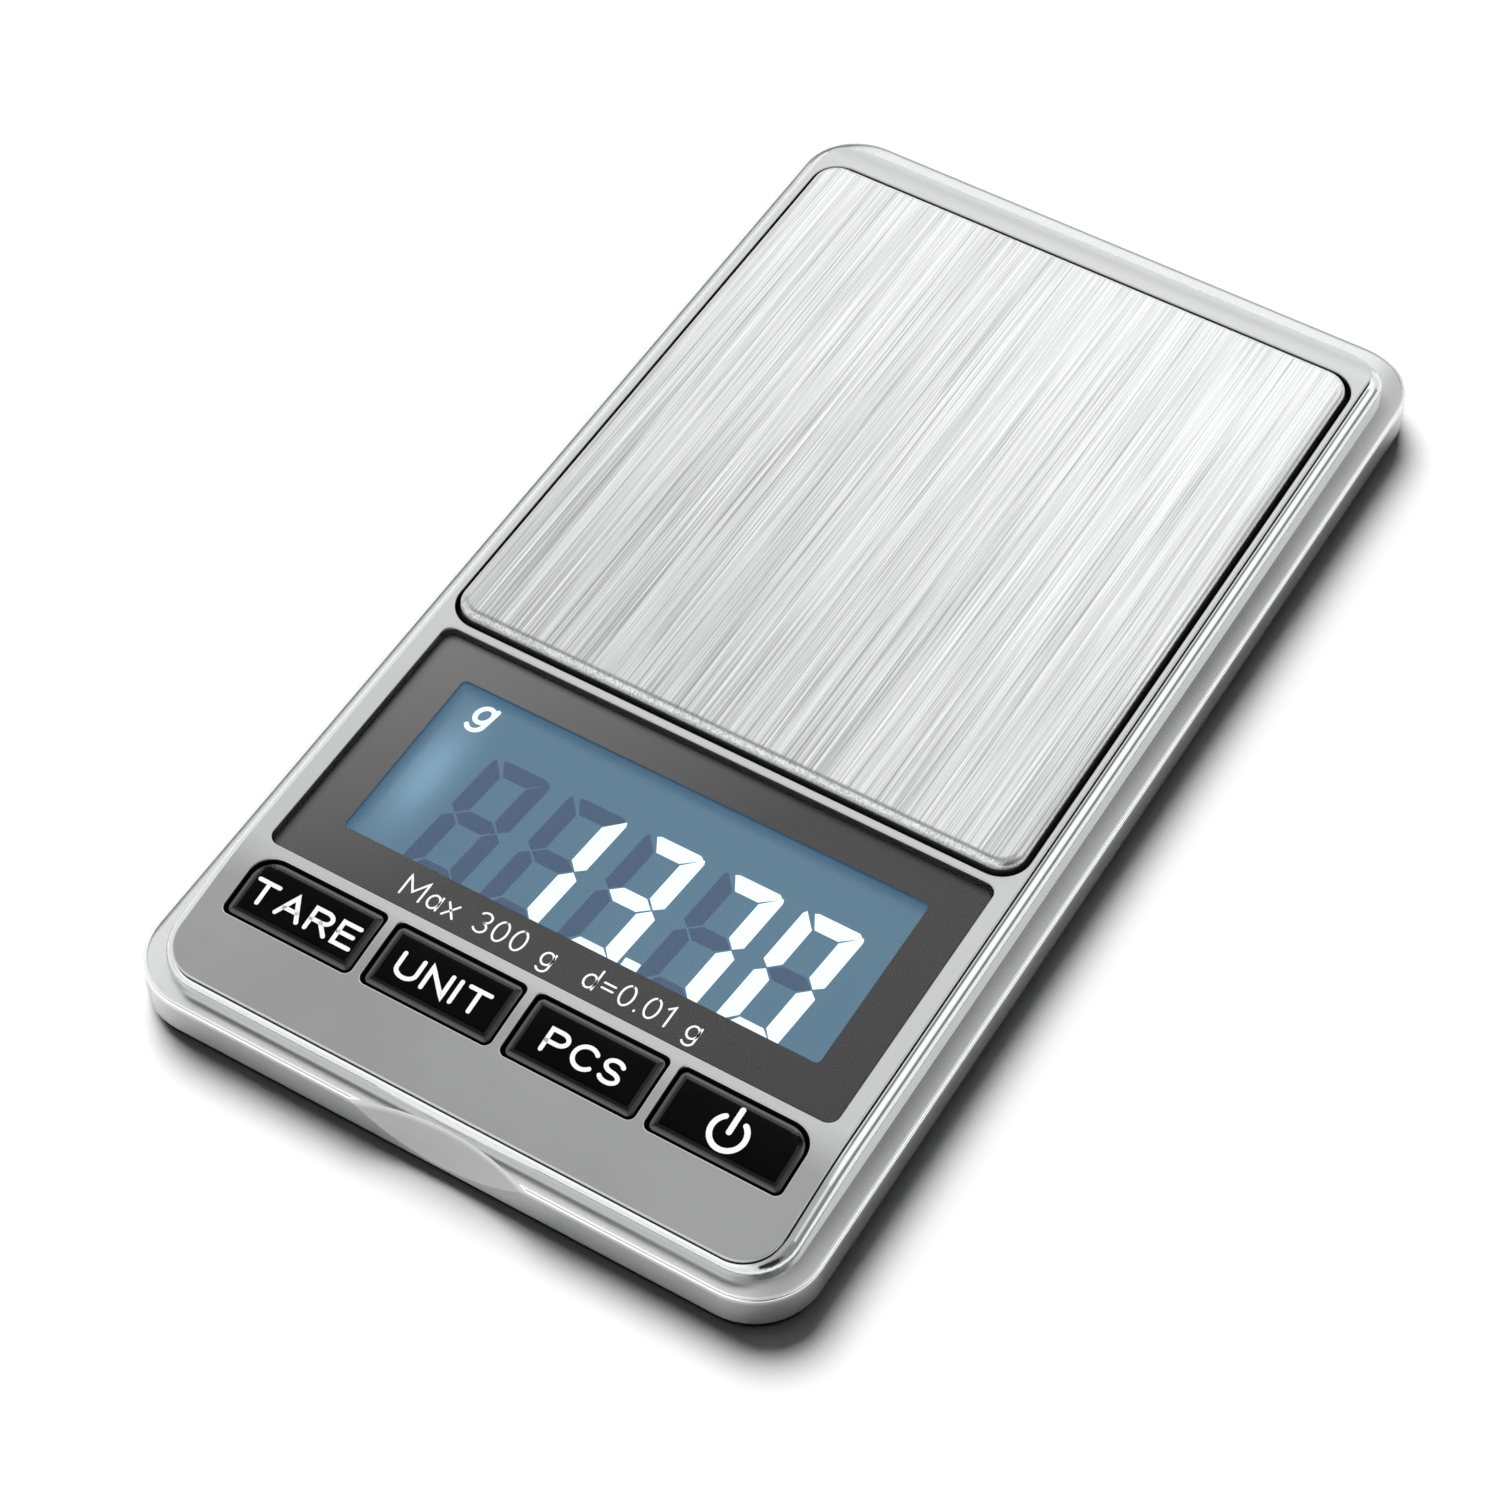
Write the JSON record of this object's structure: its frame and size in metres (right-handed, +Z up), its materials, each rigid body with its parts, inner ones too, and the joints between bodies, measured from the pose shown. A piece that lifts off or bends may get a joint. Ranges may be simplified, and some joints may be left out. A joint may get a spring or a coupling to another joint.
{
  "type": "pocket digital gram scale",
  "caption": "Slim pocket scale with a brushed square platform, backlit segment display, sloping key row and a battery door underneath.",
  "frame": {"origin": "centre of the footprint, on the surface that the feet stand on", "axes": "+Z up, +Y from the keys towards the back of the platform, +X to the right as the user reads the display"},
  "size_m": [0.065, 0.1204, 0.0097],
  "materials": {
    "black_abs": "fine moulded texture",
    "satin_casing": "satin silver paint",
    "polished_silver": "polished silver plating",
    "satin_face": "fine satin",
    "window_tint": "clear, tinted behind",
    "black_tape": "foam tape",
    "lcd_blue": "blue backlit",
    "light_guide": "diffusing",
    "white_plastic": "moulded",
    "silicone": "banded silicone",
    "pcb_green": "solder mask",
    "chip_epoxy": "epoxy",
    "tin_plate": "tinned",
    "ceramic_brown": "ceramic",
    "screw_zinc": "zinc plated",
    "screw_black": "black oxide",
    "cell_aluminium": "milled",
    "white_silicone": "cured silicone",
    "wire_red": "insulated wire",
    "nickel_can": "nickel plated",
    "brushed_steel": "brushed along its length",
    "grey_abs": "moulded",
    "gloss_black": "glossy",
    "plunger_white": "moulded",
    "foot_rubber": "matte rubber"
  },
  "bodies": {
    "housing": {"bottom_cover": "black_abs", "lower_casing": "satin_casing", "bezel_ring": "polished_silver", "upper_housing": "black_abs", "face_plate": "satin_face", "display_window": "window_tint", "window_adhesive": "black_tape", "lcd_glass": "lcd_blue", "lcd_light_guide": "light_guide", "lcd_frame": "white_plastic", "zebra_strip": "silicone", "backlight_leds": "white_plastic", "main_pcb": "pcb_green", "controller_chip": "chip_epoxy", "converter_chip": "chip_epoxy", "clock_crystal": "tin_plate", "capacitors": "ceramic_brown", "tact_switches": "black_abs", "pcb_screws": "screw_zinc", "load_cell_wires": "wire_red", "load_cell_screws": "screw_black", "overload_stop": "tin_plate", "battery_tray": "black_abs", "coin_cells": "nickel_can", "battery_springs": "nickel_can", "battery_side_contacts": "nickel_can", "battery_wires": "wire_red", "rubber_feet": "foot_rubber", "housing_screws": "screw_black"},
    "platform": {"weighing_platform": "brushed_steel", "platform_carrier": "grey_abs", "platform_pads": "black_tape", "load_cell_spacer": "cell_aluminium", "carrier_screws": "screw_zinc", "load_cell": "cell_aluminium", "gauge_sealant": "white_silicone"},
    "door": {"battery_door": "black_abs"},
    "tare_button": {"key_tare": "gloss_black", "plunger_tare": "plunger_white"},
    "unit_button": {"key_unit": "gloss_black", "plunger_unit": "plunger_white"},
    "pcs_button": {"key_pcs": "gloss_black", "plunger_pcs": "plunger_white"},
    "power_button": {"key_power": "gloss_black", "plunger_power": "plunger_white"}
  },
  "joints": [
    {"name": "platform_press", "type": "slide", "parent": "housing", "child": "platform", "axis": [0, 0, -1], "range_m": [0, 0.00025], "stiffness_N_per_m": 15000, "deforming": ["load_cell"]},
    {"name": "battery_door_slide", "type": "slide", "parent": "housing", "child": "door", "axis": [1, 0, 0], "range_m": [0, 0.022]},
    {"name": "tare_press", "type": "slide", "parent": "housing", "child": "tare_button", "axis": [0, 0, -1], "range_m": [0, 0.0004], "stiffness_N_per_m": 400},
    {"name": "unit_press", "type": "slide", "parent": "housing", "child": "unit_button", "axis": [0, 0, -1], "range_m": [0, 0.0004], "stiffness_N_per_m": 400},
    {"name": "pcs_press", "type": "slide", "parent": "housing", "child": "pcs_button", "axis": [0, 0, -1], "range_m": [0, 0.0004], "stiffness_N_per_m": 400},
    {"name": "power_press", "type": "slide", "parent": "housing", "child": "power_button", "axis": [0, 0, -1], "range_m": [0, 0.0004], "stiffness_N_per_m": 400}
  ]
}
